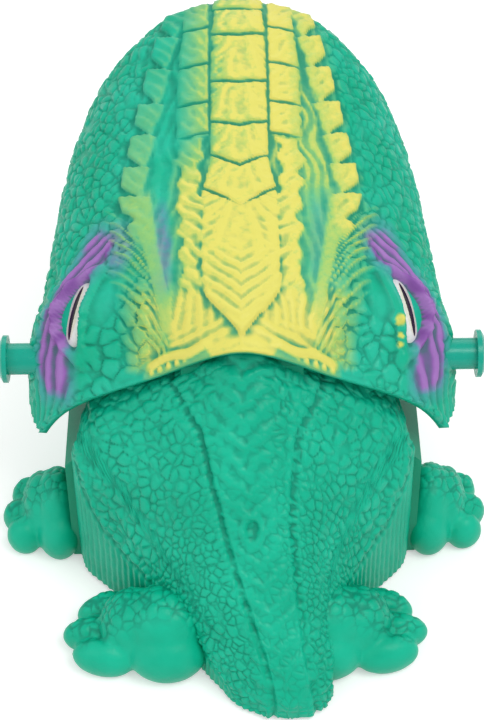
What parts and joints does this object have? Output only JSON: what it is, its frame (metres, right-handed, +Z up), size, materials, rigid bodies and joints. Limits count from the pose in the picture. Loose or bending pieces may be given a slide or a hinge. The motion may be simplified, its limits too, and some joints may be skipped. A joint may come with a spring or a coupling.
{
  "type": "bubble machine",
  "caption": "Toy bubble machine shaped as a crouching green dinosaur with a big tilting head, a wand wheel in its mouth and four short feet.",
  "frame": {"origin": "centre of the footprint, on the floor", "axes": "+Z up; the animal faces -Y, its tail points to +Y and its left side is +X"},
  "size_m": [0.188, 0.242, 0.1615],
  "materials": {
    "green_skin": "satin textured moulding",
    "green_plain": "satin",
    "green_gloss": "glossy",
    "ivory": "glossy",
    "eye_white": "glossy, painted pupil",
    "mouth_red": "satin",
    "tray_blue": "glossy",
    "yellow_plastic": "glossy",
    "white_plastic": "satin",
    "grey_plastic": "satin",
    "black_plastic": "satin",
    "steel": "brushed",
    "brass": "turned",
    "cell_jacket": "plain jacket",
    "plug_rubber": "matte"
  },
  "bodies": {
    "body": {"inner_housing": "green_plain", "torso_shell": "green_skin", "base_plate": "green_plain", "jaw_shell": "green_skin", "lower_teeth": "ivory", "solution_tray": "tray_blue", "gearbox_rear_plate": "grey_plastic", "gearbox_front_plate": "grey_plastic", "gearbox_spacers": "grey_plastic", "gear_axles": "steel", "gearbox_screws": "steel", "wheel_bushes": "brass", "motor_can": "steel", "motor_end_cap": "white_plastic", "fan_housing": "grey_plastic", "air_nozzle": "grey_plastic", "battery_box": "green_plain", "battery_cells": "cell_jacket", "contact_plates": "steel", "contact_springs": "steel", "pivot_peg_left": "green_gloss", "pivot_peg_right": "green_gloss", "front_left_foot": "green_skin", "front_right_foot": "green_skin", "rear_left_foot": "green_skin", "rear_right_foot": "green_skin", "switch_body": "black_plastic", "base_screws": "steel"},
    "head": {"head_shell": "green_skin", "palate": "mouth_red", "upper_teeth": "ivory", "eye_left": "eye_white", "eye_right": "eye_white"},
    "wheel": {"wand_wheel": "yellow_plastic", "wheel_shaft": "steel", "output_gear": "white_plastic"},
    "first_gear_body": {"first_gear": "white_plastic"},
    "second_gear_body": {"second_gear": "white_plastic"},
    "rotor": {"motor_shaft": "steel", "motor_pinion": "white_plastic", "fan_impeller": "white_plastic"},
    "plug": {"drain_plug": "plug_rubber"},
    "door": {"battery_door": "green_plain", "door_screw": "steel"},
    "switch": {"switch_knob": "black_plastic"}
  },
  "joints": [
    {"name": "head_tilt", "type": "hinge", "parent": "body", "child": "head", "pos_m": [0, 0.021, 0.088], "axis": [-1, 0, 0], "range_deg": [0, 20]},
    {"name": "wheel_spin", "type": "hinge", "parent": "body", "child": "wheel", "pos_m": [0, -0.058, 0.0655], "axis": [0, -1, 0], "continuous": true},
    {"name": "second_gear_spin", "type": "hinge", "parent": "body", "child": "second_gear_body", "pos_m": [0.0225, -0.027, 0.0655], "axis": [0, -1, 0], "continuous": true},
    {"name": "first_gear_spin", "type": "hinge", "parent": "body", "child": "first_gear_body", "pos_m": [0.0225, -0.023, 0.088], "axis": [0, -1, 0], "continuous": true},
    {"name": "rotor_spin", "type": "hinge", "parent": "body", "child": "rotor", "pos_m": [0, -0.03, 0.088], "axis": [0, -1, 0], "continuous": true},
    {"name": "plug_pull", "type": "slide", "parent": "body", "child": "plug", "axis": [0, -1, 0], "range_m": [0, 0.012]},
    {"name": "door_swing", "type": "hinge", "parent": "body", "child": "door", "pos_m": [0, 0.0403, 0.002], "axis": [1, 0, 0], "range_deg": [0, 75]},
    {"name": "switch_slide", "type": "slide", "parent": "body", "child": "switch", "axis": [0, 1, 0], "range_m": [0, 0.004]}
  ],
  "couplings": [
    {"joint": "rotor_spin", "follows": "first_gear_spin", "ratio": -4},
    {"joint": "second_gear_spin", "follows": "first_gear_spin", "ratio": -0.25},
    {"joint": "wheel_spin", "follows": "first_gear_spin", "ratio": 0.0625}
  ]
}
